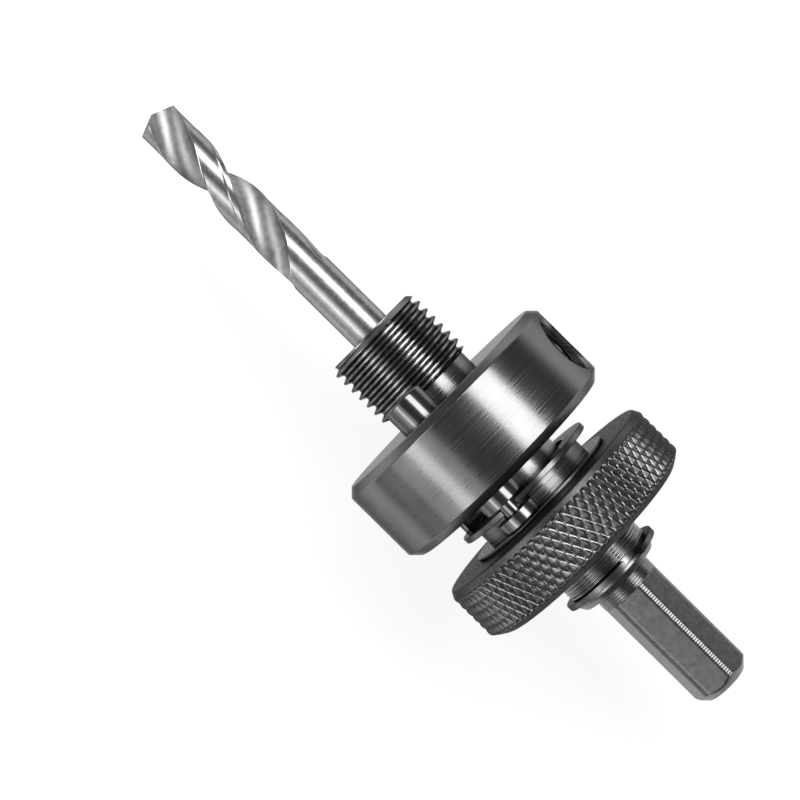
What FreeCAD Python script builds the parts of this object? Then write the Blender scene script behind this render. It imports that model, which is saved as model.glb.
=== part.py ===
import FreeCAD, Part
import Sketcher
import os

# Hole saw arbor: a pilot drill and a threaded nose for the saw, a collar with two drive pins
# that a knurled nut pushes through it, and a hex shank for the drill chuck.
#
# The axis lies along X with the drill's tip at +X. The arbor lies on the rims of collar and nut,
# so the origin is under the middle of its length, on the surface that it lies on. Every piece is
# first drawn on the X axis, with X counted from the end of the hex shank, and then lifted to the
# height of the axis. In the drawing the drive pins stand at +Z and -Z and the clamping screw
# points to +Y. Lengths are in millimetres, angles in degrees.

SIZES = {
    # hex shank and the short round in front of it
    "shank_length": 19.4,
    "shank_flats": 8.5,
    "shank_corner_trim": 0.2,
    "shank_chamfer_length": 1.45,
    "shank_chamfer_depth": 1.35,
    "shank_turn": 32.0,
    "round_length": 2.15,
    # rear end of the fine thread, with the groove of the snap ring
    "shoulder_width": 1.35,
    "shoulder_chamfer_length": 0.85,
    "shoulder_chamfer_depth": 0.55,
    "ring_groove_depth": 0.65,
    "ring_groove_width": 1.05,
    "ring_thickness": 0.93,
    "ring_proud": 1.1,
    "ring_gap": 24.4,
    "ring_turn": -63.6,
    # fine thread, drawn at its outer diameter
    "fine_thread": 14.1,
    "nut_to_ring": 3.6,
    # knurled nut
    "nut_width": 9.55,
    "nut_diameter": 37.3,
    "nut_front_chamfer_length": 1.1,
    "nut_front_chamfer_depth": 0.6,
    "nut_rear_chamfer_length": 1.25,
    "nut_rear_chamfer_depth": 1.9,
    "nut_pocket_depth": 6.0,
    # carrier of the pins: sleeve inside the nut, flange, hub and spigot
    "sleeve_wall": 2.3,
    "sleeve_length": 5.6,
    "flange_rim": 2.75,
    "flange_width": 0.5,
    "hub_shoulder": 0.5,
    "hub_width": 2.5,
    "spigot_wall": 1.9,
    "spigot_lip": 0.9,
    "spigot_mouth_depth": 0.7,
    # ring that holds the sleeve in the nut
    "carrier_ring_thickness": 1.0,
    "carrier_ring_depth": 0.7,
    "carrier_ring_proud": 0.7,
    "carrier_ring_gap": 24.0,
    "carrier_ring_inset": 1.6,
    # notched clip round the necks of the pins
    "clip_thickness": 0.9,
    "clip_web": 0.6,
    "clip_rim": 0.4,
    "tab_width": 6.2,
    "tab_rise": 1.7,
    "tab_turn": 73.0,
    # drive pins
    "pin_diameter": 6.35,
    "pin_to_nose": 0.16,
    "pin_neck": 2.6,
    "pin_neck_front": 0.5,
    "pin_neck_rear": 0.5,
    "pin_chamfer": 0.45,
    "pin_reach": 4.1,
    # collar
    "clip_to_collar": 2.7,
    "collar_width": 13.8,
    "collar_diameter": 37.3,
    "collar_front_chamfer": 1.2,
    "collar_rear_chamfer": 1.3,
    # clamping screw across the collar
    "screw_diameter": 7.4,
    "screw_recess": 5.5,
    "screw_chamfer": 0.8,
    "screw_mouth_chamfer": 1.55,
    "key_flats": 4.0,
    "key_depth": 5.0,
    # nose
    "neck_length": 3.1,
    "neck_flare": 0.9,
    "nose_thread_length": 10.4,
    "nose_thread": 15.875,
    "nose_thread_depth": 0.95,
    "nose_chamfer": 0.9,
    # pilot drill
    "drill_diameter": 6.35,
    "drill_reach": 43.3,
    "drill_hold": 33.5,
    "drill_point": 135.0,
    "drill_chamfer": 0.5,
    "drill_turn": -42.5,
    "flute_length": 32.3,
    "flute_runout": 6.0,
    "flute_pitch": 35.6,
    "flute_radius": 2.4,
    "flute_slope": 24.0,
    "web_thickness": 1.3,
    "bore_end_depth": 1.5,
    "bore_cone_depth": 1.9,
    # shared by every running or sliding fit, measured on the radius or along the axis
    "running_clearance": 0.05,
    "head_clearance": 0.1,
    # the pins were turned this far about the axis when the arbor was laid down, and the screw
    # stands this much further round than square to them
    "spindle_turn": 161.0,
    "screw_lead": 4.0,
}

doc = FreeCAD.newDocument("hole_saw_arbor")
sizes = doc.addObject("Spreadsheet::Sheet", "sizes")
for row, (alias, number) in enumerate(SIZES.items(), start=1):
    sizes.set(f"A{row}", alias)
    sizes.set(f"B{row}", str(number))
    sizes.setAlias(f"B{row}", alias)
doc.recompute()

ALONG = FreeCAD.Vector(1, 0, 0)


def value(expression):
    """Return an expression's present value as a plain number."""
    return float(sizes.evalExpression(expression))


def size(alias):
    """Return the expression that reads one size."""
    return f"sizes.{alias}"


def ahead(station, *aliases):
    """Return the station that lies the named sizes nearer to the drill's tip."""
    return " + ".join([station] + [size(alias) for alias in aliases])


def behind(station, *aliases):
    """Return the station that lies the named sizes nearer to the shank's end."""
    return " - ".join([station] + [size(alias) for alias in aliases])


# Stations along the axis, from the end of the shank to the tip of the drill
SHANK_END = size("shank_length")
SHOULDER_REAR = ahead(SHANK_END, "round_length")
GROOVE_REAR = ahead(SHOULDER_REAR, "shoulder_width")
GROOVE_FRONT = ahead(GROOVE_REAR, "ring_groove_width")
NUT_REAR = ahead(GROOVE_FRONT, "nut_to_ring")
NUT_FRONT = ahead(NUT_REAR, "nut_width")
NUT_POCKET_END = behind(NUT_FRONT, "nut_pocket_depth")
FLANGE_REAR = ahead(NUT_FRONT, "running_clearance")
SLEEVE_REAR = behind(FLANGE_REAR, "sleeve_length")
CARRIER_RING_REAR = ahead(SLEEVE_REAR, "carrier_ring_inset")
CARRIER_RING_FRONT = ahead(CARRIER_RING_REAR, "carrier_ring_thickness")
HUB_REAR = ahead(FLANGE_REAR, "flange_width")
HUB_FRONT = ahead(HUB_REAR, "hub_width")
CLIP_FRONT = ahead(HUB_FRONT, "clip_thickness")
NECK_REAR = behind(HUB_FRONT, "pin_neck_rear")
NECK_FRONT = ahead(CLIP_FRONT, "pin_neck_front")
COLLAR_REAR = ahead(CLIP_FRONT, "clip_to_collar")
COLLAR_FRONT = ahead(COLLAR_REAR, "collar_width")
SCREW_AXIS = f"{COLLAR_REAR} + sizes.collar_width / 2"
PIN_FRONT = ahead(COLLAR_FRONT, "pin_reach")
NOSE_REAR = ahead(COLLAR_FRONT, "neck_length")
NOSE_FACE = ahead(NOSE_REAR, "nose_thread_length")
DRILL_TIP = ahead(NOSE_FACE, "drill_reach")
DRILL_END = behind(NOSE_FACE, "drill_hold")
BORE_END = behind(DRILL_END, "bore_end_depth")
FLUTE_REAR = behind(DRILL_TIP, "flute_length")
FLUTE_DEEP = ahead(FLUTE_REAR, "flute_runout")

# Radii that more than one piece shares, from the axis outwards
DRILL_RADIUS = "sizes.drill_diameter / 2"
SHANK_RADIUS = "sizes.shank_flats / 2 / cos(30) - sizes.shank_corner_trim"
NOSE_RADIUS = "sizes.nose_thread / 2"
NECK_RADIUS = behind(NOSE_RADIUS, "nose_thread_depth")
THREAD_RADIUS = "sizes.fine_thread / 2"
RING_INNER = behind(THREAD_RADIUS, "ring_groove_depth")
RING_OUTER = ahead(THREAD_RADIUS, "ring_proud")
RUNNING_BORE = ahead(THREAD_RADIUS, "running_clearance")
SLEEVE_RADIUS = ahead(RUNNING_BORE, "sleeve_wall")
SLEEVE_POCKET = ahead(SLEEVE_RADIUS, "running_clearance")
CARRIER_RING_INNER = behind(SLEEVE_RADIUS, "carrier_ring_depth")
CARRIER_RING_OUTER = ahead(SLEEVE_RADIUS, "carrier_ring_proud")
SPIGOT_RADIUS = ahead(RUNNING_BORE, "spigot_wall")
SPIGOT_MOUTH = behind(SPIGOT_RADIUS, "spigot_lip")
HUB_RADIUS = ahead(SPIGOT_RADIUS, "hub_shoulder")
FLANGE_RADIUS = ahead(HUB_RADIUS, "flange_rim")

# The pins pass just clear of the nose thread, and the clip has a web between spigot and necks
PIN_RADIUS = "sizes.pin_diameter / 2"
PIN_HOLE_RADIUS = ahead(PIN_RADIUS, "running_clearance")
NECK_GRIP_RADIUS = "sizes.pin_neck / 2 + sizes.running_clearance"
PIN_BY_NOSE = f"{NOSE_RADIUS} + sizes.pin_to_nose + {PIN_RADIUS}"
PIN_BY_CLIP = f"{SPIGOT_RADIUS} + sizes.clip_web + {NECK_GRIP_RADIUS}"
PIN_OFFSET = f"max({PIN_BY_NOSE}; {PIN_BY_CLIP})"
CLIP_RADIUS = ahead(PIN_OFFSET, "clip_rim")

COLLAR_RADIUS = "sizes.collar_diameter / 2"
NUT_RADIUS = "sizes.nut_diameter / 2"
AXIS_HEIGHT = f"max({COLLAR_RADIUS}; {NUT_RADIUS})"
SCREW_TURN = ahead(size("spindle_turn"), "screw_lead")
SCREW_RADIUS = "sizes.screw_diameter / 2"
SCREW_OUTER = behind(COLLAR_RADIUS, "screw_recess")
POINT_LENGTH = f"{DRILL_RADIUS} / tan(sizes.drill_point / 2)"


def lay_down(piece, turn, y="0", z="0"):
    """Turn a piece about the axis and bring it to its place over the surface."""
    piece.Placement = FreeCAD.Placement(FreeCAD.Vector(), FreeCAD.Rotation(ALONG, 1))
    piece.setExpression("Placement.Rotation.Angle", turn)
    piece.setExpression("Placement.Base.x", f"-({DRILL_TIP}) / 2")
    piece.setExpression("Placement.Base.y", y)
    piece.setExpression("Placement.Base.z", f"{AXIS_HEIGHT} + {z}")


def new_body(name, turn, y="0", z="0"):
    """Start a piece that is made from sketches."""
    body = doc.addObject("PartDesign::Body", name)
    body.Label = name
    lay_down(body, turn, y, z)
    return body


def new_sketch(body, name, role, offset=None, turn=None):
    """Attach a sketch to one of the body's own planes, shifted or turned where asked."""
    sketch = body.newObject("Sketcher::SketchObject", name)
    plane = [item for item in body.Origin.OriginFeatures if item.Role == role][0]
    sketch.AttachmentSupport = [(plane, "")]
    sketch.MapMode = "FlatFace"
    if offset is not None:
        sketch.setExpression("AttachmentOffset.Base.z", offset)
    if turn is not None:
        normal = FreeCAD.Vector(0, 0, 1)
        sketch.AttachmentOffset = FreeCAD.Placement(FreeCAD.Vector(), FreeCAD.Rotation(normal, 1))
        sketch.setExpression("AttachmentOffset.Rotation.Angle", turn)
    return sketch


def pin_point(sketch, geometry, vertex, across, up):
    """Hold one end of a line at a place given by two expressions."""
    for kind, expression in (("DistanceX", across), ("DistanceY", up)):
        distance = Sketcher.Constraint(kind, -1, 1, geometry, vertex, value(expression))
        index = sketch.addConstraint(distance)
        sketch.setExpression(f"Constraints[{index}]", expression)


def draw_outline(sketch, corners):
    """Draw a closed outline through corners that are given by expressions."""
    points = [FreeCAD.Vector(value(across), value(up), 0) for across, up in corners]
    first = sketch.GeometryCount
    for start, end in zip(points, points[1:] + points[:1]):
        sketch.addGeometry(Part.LineSegment(start, end), False)
    for index, (across, up) in enumerate(corners):
        following = first + (index + 1) % len(corners)
        sketch.addConstraint(Sketcher.Constraint("Coincident", first + index, 2, following, 1))
        pin_point(sketch, first + index, 1, across, up)


def draw_circle(sketch, across, up, radius):
    """Draw a circle whose centre and radius are given by expressions."""
    centre = FreeCAD.Vector(value(across), value(up), 0)
    circle = Part.Circle(centre, FreeCAD.Vector(0, 0, 1), value(radius))
    geometry = sketch.addGeometry(circle, False)
    pin_point(sketch, geometry, 3, across, up)
    index = sketch.addConstraint(Sketcher.Constraint("Radius", geometry, value(radius)))
    sketch.setExpression(f"Constraints[{index}]", radius)


def draw_hexagon(sketch, across, flats):
    """Draw a hexagon round a point on the first axis, with two of its flats square to it."""
    corners = []
    for step in range(6):
        angle = 30 + 60 * step
        reach = f"{flats} / 2 / cos(30)"
        corners.append((f"{across} + {reach} * cos({angle})", f"{reach} * sin({angle})"))
    draw_outline(sketch, corners)


def turned(body, name, corners):
    """Revolve an outline of stations and radii about the axis of the arbor."""
    sketch = new_sketch(body, f"{name}_outline", "XY_Plane")
    draw_outline(sketch, corners)
    turning = body.newObject("PartDesign::Revolution", name)
    turning.Profile = sketch
    turning.ReferenceAxis = (sketch, ["H_Axis"])
    turning.Angle = 360
    doc.recompute()
    return turning


def add_cross_axis(sketch):
    """Add the clamping screw's own axis to a sketch, as its first construction line."""
    start = FreeCAD.Vector(value(SCREW_AXIS), 0, 0)
    end = start + FreeCAD.Vector(0, value(SCREW_RADIUS), 0)
    line = sketch.addGeometry(Part.LineSegment(start, end), True)
    pin_point(sketch, line, 1, SCREW_AXIS, "0")
    pin_point(sketch, line, 2, SCREW_AXIS, SCREW_RADIUS)


def cut(body, kind, name, sketch, **settings):
    """Cut a pocket or groove, and check that it took something away."""
    before = body.Shape.Volume
    feature = body.newObject(kind, name)
    feature.Profile = sketch
    for key, setting in settings.items():
        if key == "LengthIs":
            feature.setExpression("Length", setting)
        else:
            setattr(feature, key, setting)
    doc.recompute()
    if body.Shape.Volume >= before - 1e-6:
        raise RuntimeError(f"{name} cuts nothing")
    return feature


# Body of the arbor

def make_arbor_body():
    """Turn the body, mill the hex, and drill the hole for the clamping screw."""
    body = new_body("arbor_body", SCREW_TURN)
    bore_radius = ahead(DRILL_RADIUS, "running_clearance")
    turned(body, "turned_body", [
        ("0", "0"),
        ("0", behind(SHANK_RADIUS, "shank_chamfer_depth")),
        (size("shank_chamfer_length"), SHANK_RADIUS),
        (SHOULDER_REAR, SHANK_RADIUS),
        (SHOULDER_REAR, behind(THREAD_RADIUS, "shoulder_chamfer_depth")),
        (ahead(SHOULDER_REAR, "shoulder_chamfer_length"), THREAD_RADIUS),
        (GROOVE_REAR, THREAD_RADIUS),
        (GROOVE_REAR, RING_INNER),
        (GROOVE_FRONT, RING_INNER),
        (GROOVE_FRONT, THREAD_RADIUS),
        (COLLAR_FRONT, THREAD_RADIUS),
        (COLLAR_FRONT, NECK_RADIUS),
        (NOSE_REAR, NECK_RADIUS),
        (ahead(NOSE_REAR, "neck_flare"), NOSE_RADIUS),
        (behind(NOSE_FACE, "nose_chamfer"), NOSE_RADIUS),
        (NOSE_FACE, behind(NOSE_RADIUS, "nose_chamfer")),
        (NOSE_FACE, bore_radius),
        (BORE_END, bore_radius),
        (behind(BORE_END, "bore_cone_depth"), "0"),
    ])
    flats = new_sketch(body, "hex_outline", "YZ_Plane", turn=size("shank_turn"))
    draw_circle(flats, "0", "0", f"2 * ({SHANK_RADIUS})")
    draw_hexagon(flats, "0", size("shank_flats"))
    cut(body, "PartDesign::Pocket", "hex_flats", flats, LengthIs=SHANK_END, Reversed=True)
    cross = new_sketch(body, "screw_hole_outline", "XZ_Plane")
    draw_circle(cross, SCREW_AXIS, "0", SCREW_RADIUS)
    cut(body, "PartDesign::Pocket", "screw_hole", cross, Type="ThroughAll")
    return body


# Collar with the drive pins' holes and the screw's hole

def make_drive_collar():
    """Turn the collar and drill it for both pins and for the clamping screw."""
    body = new_body("drive_collar", SCREW_TURN)
    turned(body, "turned_collar", [
        (COLLAR_REAR, THREAD_RADIUS),
        (COLLAR_REAR, behind(COLLAR_RADIUS, "collar_rear_chamfer")),
        (ahead(COLLAR_REAR, "collar_rear_chamfer"), COLLAR_RADIUS),
        (behind(COLLAR_FRONT, "collar_front_chamfer"), COLLAR_RADIUS),
        (COLLAR_FRONT, behind(COLLAR_RADIUS, "collar_front_chamfer")),
        (COLLAR_FRONT, THREAD_RADIUS),
    ])
    holes = new_sketch(body, "pin_holes_outline", "YZ_Plane", turn=f"-({size('screw_lead')})")
    for side in ("", "-"):
        draw_circle(holes, "0", f"{side}({PIN_OFFSET})", PIN_HOLE_RADIUS)
    cut(body, "PartDesign::Pocket", "pin_holes", holes, Type="ThroughAll", Reversed=True)
    edge = f"{SCREW_AXIS} + {SCREW_RADIUS}"
    outside = f"2 * {COLLAR_RADIUS}"
    bore = new_sketch(body, "screw_bore_outline", "XY_Plane")
    add_cross_axis(bore)
    draw_outline(bore, [
        (SCREW_AXIS, "0"),
        (edge, "0"),
        (edge, behind(COLLAR_RADIUS, "screw_mouth_chamfer")),
        (ahead(edge, "screw_mouth_chamfer"), COLLAR_RADIUS),
        (ahead(edge, "screw_mouth_chamfer"), outside),
        (SCREW_AXIS, outside),
    ])
    cut(body, "PartDesign::Groove", "screw_bore", bore, ReferenceAxis=(bore, ["Axis0"]))
    return body


def make_pilot_set_screw():
    """Turn the headless screw that clamps the drill, with its hex socket."""
    body = new_body("pilot_set_screw", SCREW_TURN)
    edge = f"{SCREW_AXIS} + {SCREW_RADIUS}"
    sketch = new_sketch(body, "screw_outline", "XY_Plane")
    add_cross_axis(sketch)
    draw_outline(sketch, [
        (SCREW_AXIS, DRILL_RADIUS),
        (behind(edge, "screw_chamfer"), DRILL_RADIUS),
        (edge, ahead(DRILL_RADIUS, "screw_chamfer")),
        (edge, behind(SCREW_OUTER, "screw_chamfer")),
        (behind(edge, "screw_chamfer"), SCREW_OUTER),
        (SCREW_AXIS, SCREW_OUTER),
    ])
    turning = body.newObject("PartDesign::Revolution", "turned_screw")
    turning.Profile = sketch
    turning.ReferenceAxis = (sketch, ["Axis0"])
    turning.Angle = 360
    doc.recompute()
    floor = f"-({behind(SCREW_OUTER, 'key_depth')})"
    socket = new_sketch(body, "socket_outline", "XZ_Plane", offset=floor)
    draw_hexagon(socket, SCREW_AXIS, size("key_flats"))
    cut(body, "PartDesign::Pocket", "hex_socket", socket, Type="ThroughAll")
    return body


# Drive pins

def make_drive_pin(name, side):
    """Turn one drive pin, with the neck that the clip grips and the head behind it."""
    y = f"{side} * sin(sizes.spindle_turn) * ({PIN_OFFSET})"
    z = f"{side} * cos(sizes.spindle_turn) * ({PIN_OFFSET})"
    body = new_body(name, size("spindle_turn"), f"-1 * {y}", z)
    neck = "sizes.pin_neck / 2"
    turned(body, f"turned_{name}", [
        (HUB_REAR, "0"),
        (HUB_REAR, behind(PIN_RADIUS, "pin_chamfer")),
        (ahead(HUB_REAR, "pin_chamfer"), PIN_RADIUS),
        (NECK_REAR, PIN_RADIUS),
        (NECK_REAR, neck),
        (NECK_FRONT, neck),
        (NECK_FRONT, PIN_RADIUS),
        (behind(PIN_FRONT, "pin_chamfer"), PIN_RADIUS),
        (PIN_FRONT, behind(PIN_RADIUS, "pin_chamfer")),
        (PIN_FRONT, "0"),
    ])
    return body


# Clip, carrier and nut

def make_pin_clip():
    """Cut the flat clip from sheet: a ring, open notches for the necks, and one bent-up tab."""
    body = new_body("pin_clip", size("spindle_turn"))
    ring = new_sketch(body, "ring_outline", "YZ_Plane", offset=HUB_FRONT)
    draw_circle(ring, "0", "0", CLIP_RADIUS)
    draw_circle(ring, "0", "0", SPIGOT_RADIUS)
    plate = body.newObject("PartDesign::Pad", "ring_plate")
    plate.Profile = ring
    plate.setExpression("Length", size("clip_thickness"))
    doc.recompute()
    seats = new_sketch(body, "neck_seats_outline", "YZ_Plane")
    for side in ("", "-"):
        draw_circle(seats, "0", f"{side}({PIN_OFFSET})", NECK_GRIP_RADIUS)
    cut(body, "PartDesign::Pocket", "neck_seats", seats, Type="ThroughAll", Reversed=True)
    mouths = new_sketch(body, "notches_outline", "YZ_Plane")
    for side in ("", "-"):
        near = f"{side}({PIN_OFFSET})"
        far = f"{side}({CLIP_RADIUS} + {NECK_GRIP_RADIUS})"
        left = f"-({NECK_GRIP_RADIUS})"
        right = NECK_GRIP_RADIUS
        draw_outline(mouths, [(left, near), (right, near), (right, far), (left, far)])
    cut(body, "PartDesign::Pocket", "notches", mouths, Type="ThroughAll", Reversed=True)
    tab = new_sketch(body, "tab_outline", "YZ_Plane", turn=size("tab_turn"))
    tab.setExpression("AttachmentOffset.Base.z", HUB_FRONT)
    half = "sizes.tab_width / 2"
    outer = f"sqrt(({CLIP_RADIUS}) ^ 2 - ({half}) ^ 2)"
    inner = f"{outer} - sizes.clip_thickness"
    draw_outline(tab, [(f"-{half}", inner), (half, inner), (half, outer), (f"-{half}", outer)])
    upright = body.newObject("PartDesign::Pad", "tab")
    upright.Profile = tab
    upright.setExpression("Length", ahead(size("clip_thickness"), "tab_rise"))
    doc.recompute()
    return body


def make_pin_carrier():
    """Turn the carrier and cut the recesses in its hub that hold the heads of the pins."""
    body = new_body("pin_carrier", size("spindle_turn"))
    turned(body, "turned_carrier", [
        (SLEEVE_REAR, RUNNING_BORE),
        (SLEEVE_REAR, SLEEVE_RADIUS),
        (CARRIER_RING_REAR, SLEEVE_RADIUS),
        (CARRIER_RING_REAR, CARRIER_RING_INNER),
        (CARRIER_RING_FRONT, CARRIER_RING_INNER),
        (CARRIER_RING_FRONT, SLEEVE_RADIUS),
        (FLANGE_REAR, SLEEVE_RADIUS),
        (FLANGE_REAR, FLANGE_RADIUS),
        (HUB_REAR, FLANGE_RADIUS),
        (HUB_REAR, HUB_RADIUS),
        (HUB_FRONT, HUB_RADIUS),
        (HUB_FRONT, SPIGOT_RADIUS),
        (CLIP_FRONT, SPIGOT_RADIUS),
        (CLIP_FRONT, SPIGOT_MOUTH),
        (behind(CLIP_FRONT, "spigot_mouth_depth"), SPIGOT_MOUTH),
        (behind(CLIP_FRONT, "spigot_mouth_depth"), RUNNING_BORE),
    ])
    heads = new_sketch(body, "head_recess_outline", "YZ_Plane", offset=HUB_REAR)
    for side in ("", "-"):
        draw_circle(heads, "0", f"{side}({PIN_OFFSET})", PIN_HOLE_RADIUS)
    cut(body, "PartDesign::Pocket", "head_recesses", heads,
        LengthIs=size("hub_width"), Reversed=True)
    return body


def make_knurled_nut():
    """Turn the nut, with the pocket and groove that hold the carrier's sleeve and ring."""
    body = new_body("knurled_nut", size("spindle_turn"))
    groove = ahead(CARRIER_RING_OUTER, "head_clearance")
    groove_rear = behind(CARRIER_RING_REAR, "running_clearance")
    groove_front = ahead(CARRIER_RING_FRONT, "running_clearance")
    turned(body, "turned_nut", [
        (NUT_REAR, RUNNING_BORE),
        (NUT_REAR, behind(NUT_RADIUS, "nut_rear_chamfer_depth")),
        (ahead(NUT_REAR, "nut_rear_chamfer_length"), NUT_RADIUS),
        (behind(NUT_FRONT, "nut_front_chamfer_length"), NUT_RADIUS),
        (NUT_FRONT, behind(NUT_RADIUS, "nut_front_chamfer_depth")),
        (NUT_FRONT, SLEEVE_POCKET),
        (groove_front, SLEEVE_POCKET),
        (groove_front, groove),
        (groove_rear, groove),
        (groove_rear, SLEEVE_POCKET),
        (NUT_POCKET_END, SLEEVE_POCKET),
        (NUT_POCKET_END, RUNNING_BORE),
    ])
    return body


def make_split_ring(name, turn, rear, front, inner, outer, gap):
    """Bend a split ring of square section, open by a gap given as an angle."""
    body = new_body(name, turn)
    sketch = new_sketch(body, f"{name}_section", "XY_Plane")
    draw_outline(sketch, [(rear, inner), (front, inner), (front, outer), (rear, outer)])
    bending = body.newObject("PartDesign::Revolution", f"bent_{name}")
    bending.Profile = sketch
    bending.ReferenceAxis = (sketch, ["H_Axis"])
    bending.Midplane = True
    bending.setExpression("Angle", f"360 - {gap}")
    doc.recompute()
    return body


def make_rings():
    """Make the snap ring behind the nut, and the ring that holds the carrier in the nut."""
    play = "(sizes.ring_groove_width - sizes.ring_thickness) / 2"
    make_split_ring(
        "rear_snap_ring", size("ring_turn"), f"{GROOVE_REAR} + {play}", f"{GROOVE_FRONT} - {play}",
        RING_INNER, RING_OUTER, size("ring_gap"))
    make_split_ring(
        "carrier_ring", size("spindle_turn"), CARRIER_RING_REAR, CARRIER_RING_FRONT,
        CARRIER_RING_INNER, CARRIER_RING_OUTER, size("carrier_ring_gap"))


# Pilot drill

def make_flute_tool(name, phase, forward):
    """Sweep the round grinding tool of one flute along its helix.

    The deep stretch runs forward to beyond the tip. The run-out goes the other way on a widening
    helix, so that the tool leaves the drill gently.
    """
    reach = f"{size('web_thickness')} / 2 + {size('flute_radius')}"
    path = doc.addObject("Part::Helix", f"{name}_path")
    path.setExpression("Pitch", size("flute_pitch"))
    path.setExpression("Radius", reach)
    if forward:
        path.setExpression("Height", f"{DRILL_TIP} - ({FLUTE_DEEP}) + {size('flute_radius')}")
        path.Placement.Rotation = FreeCAD.Rotation(FreeCAD.Matrix(
            0, 0, 1, 0,
            0, -1, 0, 0,
            1, 0, 0, 0,
            0, 0, 0, 1))
    else:
        path.setExpression("Height", f"{size('flute_runout')} * 1.3")
        path.setExpression("Angle", size("flute_slope"))
        path.Placement.Rotation = FreeCAD.Rotation(FreeCAD.Matrix(
            0, 0, -1, 0,
            0, 1, 0, 0,
            1, 0, 0, 0,
            0, 0, 0, 1))
    circle = doc.addObject("Part::Circle", f"{name}_section")
    circle.setExpression("Radius", size("flute_radius"))
    circle.Placement.Rotation = FreeCAD.Rotation(FreeCAD.Vector(0, 0, 1), ALONG)
    circle.setExpression("Placement.Base.z", reach)
    tool = doc.addObject("Part::Sweep", name)
    tool.Sections = [circle]
    tool.Spine = (path, [])
    tool.Solid = True
    tool.Frenet = True
    tool.Placement = FreeCAD.Placement(FreeCAD.Vector(), FreeCAD.Rotation(ALONG, phase))
    tool.setExpression("Placement.Base.x", FLUTE_DEEP)
    return tool


def make_pilot_drill():
    """Turn the drill's blank and grind two flutes into it."""
    blank = doc.addObject("PartDesign::Body", "drill_blank")
    shoulder = f"{DRILL_TIP} - {POINT_LENGTH}"
    turned(blank, "turned_blank", [
        (DRILL_END, "0"),
        (DRILL_END, behind(DRILL_RADIUS, "drill_chamfer")),
        (ahead(DRILL_END, "drill_chamfer"), DRILL_RADIUS),
        (shoulder, DRILL_RADIUS),
        (DRILL_TIP, "0"),
    ])
    piece = blank
    for side, phase in (("first", 0), ("second", 180)):
        for forward in (True, False):
            stretch = "flute" if forward else "runout"
            tool = make_flute_tool(f"{side}_{stretch}_tool", phase, forward)
            ground = doc.addObject("Part::Cut", f"{side}_{stretch}")
            ground.Base = piece
            ground.Tool = tool
            doc.recompute()
            piece = ground
    piece.Label = "pilot_drill"
    lay_down(piece, size("drill_turn"))
    return piece


make_arbor_body()
make_drive_collar()
make_pilot_set_screw()
make_drive_pin("drive_pin_1", -1)
make_drive_pin("drive_pin_2", 1)
make_pin_clip()
make_pin_carrier()
make_knurled_nut()
make_rings()
make_pilot_drill()
doc.recompute()

NODES = [
    "pilot_drill", "arbor_body", "drive_collar", "pilot_set_screw", "drive_pin_1", "drive_pin_2",
    "pin_clip", "pin_carrier", "carrier_ring", "knurled_nut", "rear_snap_ring",
]

for item in doc.Objects:
    if "Invalid" in item.State or "Error" in item.State:
        raise RuntimeError(f"{item.Label} failed: {item.State}")

os.makedirs("parts", exist_ok=True)
for node in NODES:
    shape = doc.getObjectsByLabel(node)[0].Shape
    if shape.isNull() or not shape.isValid() or len(shape.Solids) != 1:
        raise RuntimeError(f"{node} is not one sound solid")
    shape.exportStep(f"parts/{node}.step")
    box = shape.BoundBox
    print(
        f"{node}: {shape.Volume:.1f} mm3, "
        f"x {box.XMin:.2f} to {box.XMax:.2f}, z {box.ZMin:.2f} to {box.ZMax:.2f}")
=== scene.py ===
"""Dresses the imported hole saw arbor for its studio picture.

The arbor lies on the rims of its collar and nut, with its axis along X and the drill's tip at +X.
Lengths below are millimetres and angles degrees unless a comment says otherwise. An angle goes
round the axis from straight up, positive by the right-hand rule about +X.
"""

import logging
import math
from dataclasses import dataclass
from enum import Enum
from functools import cache
from typing import Sequence

import bmesh
import bpy
import numpy as np
from mathutils import Matrix, Vector


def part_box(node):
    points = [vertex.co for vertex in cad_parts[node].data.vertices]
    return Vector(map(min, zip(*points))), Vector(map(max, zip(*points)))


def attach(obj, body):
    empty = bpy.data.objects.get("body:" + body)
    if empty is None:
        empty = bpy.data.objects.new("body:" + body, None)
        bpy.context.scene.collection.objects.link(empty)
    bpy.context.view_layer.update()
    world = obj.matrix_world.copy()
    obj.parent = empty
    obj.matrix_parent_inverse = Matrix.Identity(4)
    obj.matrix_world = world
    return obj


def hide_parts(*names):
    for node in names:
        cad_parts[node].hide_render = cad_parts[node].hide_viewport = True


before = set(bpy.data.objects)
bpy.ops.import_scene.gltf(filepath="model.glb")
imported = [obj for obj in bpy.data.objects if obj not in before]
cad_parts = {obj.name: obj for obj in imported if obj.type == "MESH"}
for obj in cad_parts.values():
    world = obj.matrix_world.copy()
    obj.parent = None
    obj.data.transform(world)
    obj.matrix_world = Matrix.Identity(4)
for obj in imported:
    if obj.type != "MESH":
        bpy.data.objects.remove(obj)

LOG = logging.getLogger("arbor")
MM = 0.001


# Places read from the frame

@dataclass(frozen=True)
class Extent:
    """The box of one CAD node, in millimetres."""

    low: tuple[float, float, float]
    high: tuple[float, float, float]

    @classmethod
    def of(cls, node: str) -> "Extent":
        """Read a node's box from the frame.

        Args:
            node: The node's name.

        Returns:
            The box in millimetres.
        """
        low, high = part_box(node)
        return cls(tuple(v / MM for v in low), tuple(v / MM for v in high))

    @property
    def rear(self) -> float:
        """Station nearest to the end of the shank."""
        return self.low[0]

    @property
    def front(self) -> float:
        """Station nearest to the tip of the drill."""
        return self.high[0]

    @property
    def radius(self) -> float:
        """Half of the box's height."""
        return (self.high[2] - self.low[2]) / 2

    @property
    def middle(self) -> tuple[float, float]:
        """Y and Z of the middle of the box."""
        return (self.low[1] + self.high[1]) / 2, (self.low[2] + self.high[2]) / 2


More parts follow.
